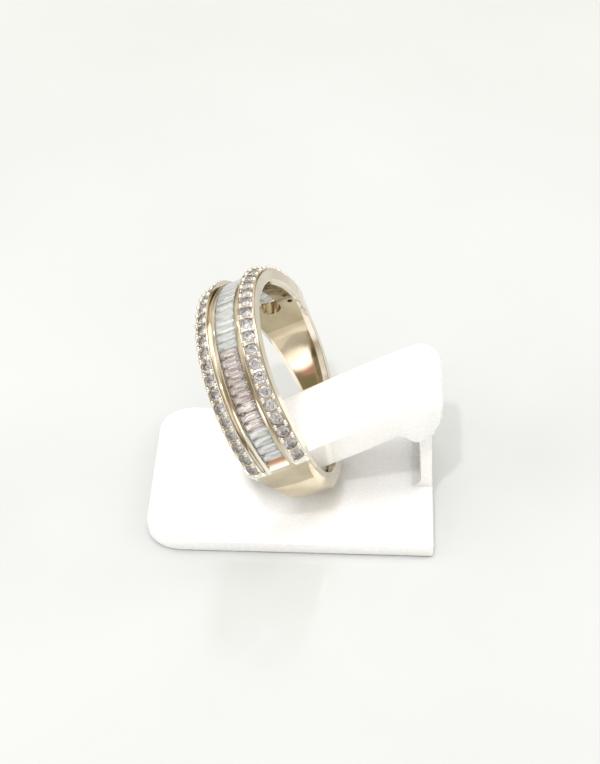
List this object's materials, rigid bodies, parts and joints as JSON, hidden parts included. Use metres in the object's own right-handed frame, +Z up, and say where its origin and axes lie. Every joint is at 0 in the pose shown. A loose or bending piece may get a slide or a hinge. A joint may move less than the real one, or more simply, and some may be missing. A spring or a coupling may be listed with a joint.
{
  "type": "half eternity band on a display stand",
  "caption": "Tapered half eternity ring with a channel of baguette stones between raised pavé strips, leaning on a bent white display clip.",
  "frame": {"origin": "middle of the footprint of ring and stand together, on the floor", "axes": "+X to the right along the stand, +Y to the back, +Z up"},
  "size_m": [0.0264, 0.0207, 0.0212],
  "materials": {
    "white_plastic": "glossy",
    "silver": "polished",
    "round_stone": "faceted",
    "baguette_stone": "faceted"
  },
  "bodies": {
    "root": {"stand": "white_plastic", "band": "silver", "pave_left": "round_stone", "pave_right": "round_stone", "baguette_01": "baguette_stone", "baguette_02": "baguette_stone", "baguette_03": "baguette_stone", "baguette_04": "baguette_stone", "baguette_05": "baguette_stone", "baguette_06": "baguette_stone", "baguette_07": "baguette_stone", "baguette_08": "baguette_stone", "baguette_09": "baguette_stone", "baguette_10": "baguette_stone", "baguette_11": "baguette_stone", "baguette_12": "baguette_stone", "baguette_13": "baguette_stone", "baguette_14": "baguette_stone", "baguette_15": "baguette_stone", "baguette_16": "baguette_stone", "baguette_17": "baguette_stone", "baguette_18": "baguette_stone", "baguette_19": "baguette_stone", "baguette_20": "baguette_stone", "baguette_21": "baguette_stone", "baguette_22": "baguette_stone", "baguette_23": "baguette_stone", "baguette_24": "baguette_stone", "baguette_25": "baguette_stone", "baguette_26": "baguette_stone", "baguette_27": "baguette_stone", "baguette_28": "baguette_stone", "baguette_29": "baguette_stone", "baguette_30": "baguette_stone", "baguette_31": "baguette_stone", "baguette_32": "baguette_stone", "baguette_33": "baguette_stone", "baguette_34": "baguette_stone"}
  },
  "joints": []
}
